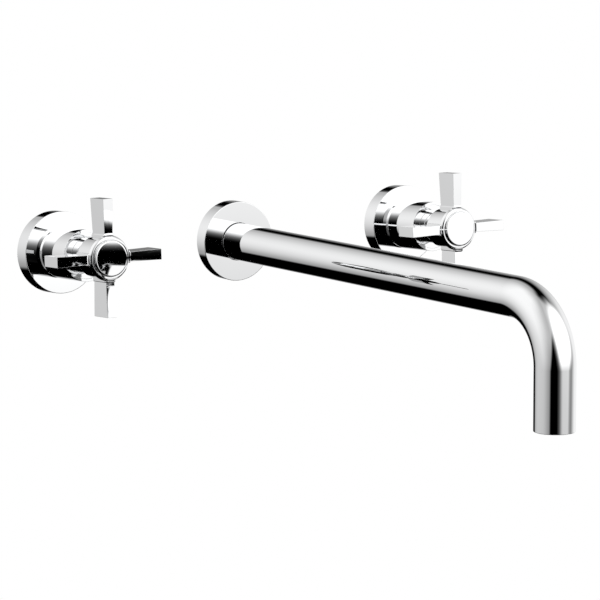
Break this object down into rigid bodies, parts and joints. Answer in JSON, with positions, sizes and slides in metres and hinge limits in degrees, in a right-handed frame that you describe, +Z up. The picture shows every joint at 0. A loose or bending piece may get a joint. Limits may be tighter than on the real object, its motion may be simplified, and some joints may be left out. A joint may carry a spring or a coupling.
{
  "type": "wall-mounted bath faucet",
  "caption": "Wall-mounted chrome bath faucet with cross-handle valves, round flanges, a long spout with a turned-down end and its brass rough-in behind the wall.",
  "frame": {"origin": "on the finished wall face, midway between the two valve axes and at their height", "axes": "+X to the right seen from the bath, +Y into the wall, +Z up; the spout and the handles stand out along -Y"},
  "size_m": [0.3896, 0.4875, 0.149],
  "materials": {
    "chrome": "mirror",
    "brass": "machined",
    "copper": "drawn copper",
    "rubber": "matte",
    "foam": "matte",
    "ceramic": "lapped ceramic",
    "aerator_plastic": "matte",
    "steel": "satin"
  },
  "bodies": {
    "faucet": {"spout_tube": "chrome", "spout_flange": "chrome", "spout_flange_o_ring": "rubber", "spout_flange_gasket": "foam", "spout_adapter": "brass", "spout_washer": "rubber", "spout_nipple": "brass", "tee_body": "brass", "outlet_insert": "brass", "aerator_washer": "rubber", "aerator_body": "aerator_plastic", "aerator_screen": "steel", "hot_valve_body": "brass", "hot_link_pipe": "copper", "hot_cartridge_body": "brass", "hot_cartridge_seal": "rubber", "hot_fixed_disc": "ceramic", "hot_sleeve_carrier": "brass", "hot_sleeve": "chrome", "hot_guide_bush": "chrome", "hot_flange": "chrome", "hot_flange_o_ring": "rubber", "hot_flange_gasket": "foam", "cold_valve_body": "brass", "cold_link_pipe": "copper", "cold_cartridge_body": "brass", "cold_cartridge_seal": "rubber", "cold_fixed_disc": "ceramic", "cold_sleeve_carrier": "brass", "cold_sleeve": "chrome", "cold_guide_bush": "chrome", "cold_flange": "chrome", "cold_flange_o_ring": "rubber", "cold_flange_gasket": "foam"},
    "hot_stem": {"hot_moving_disc": "ceramic", "hot_spindle": "brass", "hot_spindle_o_rings": "rubber", "hot_spindle_clip": "steel", "hot_stem_extension": "brass", "hot_handle": "chrome", "hot_handle_screw": "steel", "hot_ring": "chrome", "hot_button": "chrome"},
    "cold_stem": {"cold_moving_disc": "ceramic", "cold_spindle": "brass", "cold_spindle_o_rings": "rubber", "cold_spindle_clip": "steel", "cold_stem_extension": "brass", "cold_handle": "chrome", "cold_handle_screw": "steel", "cold_ring": "chrome", "cold_button": "chrome"}
  },
  "joints": [
    {"name": "hot_handle_turn", "type": "hinge", "parent": "faucet", "child": "hot_stem", "pos_m": [-0.1524, -0.07, 0], "axis": [0, -1, 0], "range_deg": [0, 90]},
    {"name": "cold_handle_turn", "type": "hinge", "parent": "faucet", "child": "cold_stem", "pos_m": [0.1524, -0.07, 0], "axis": [0, -1, 0], "range_deg": [-90, 0]}
  ]
}
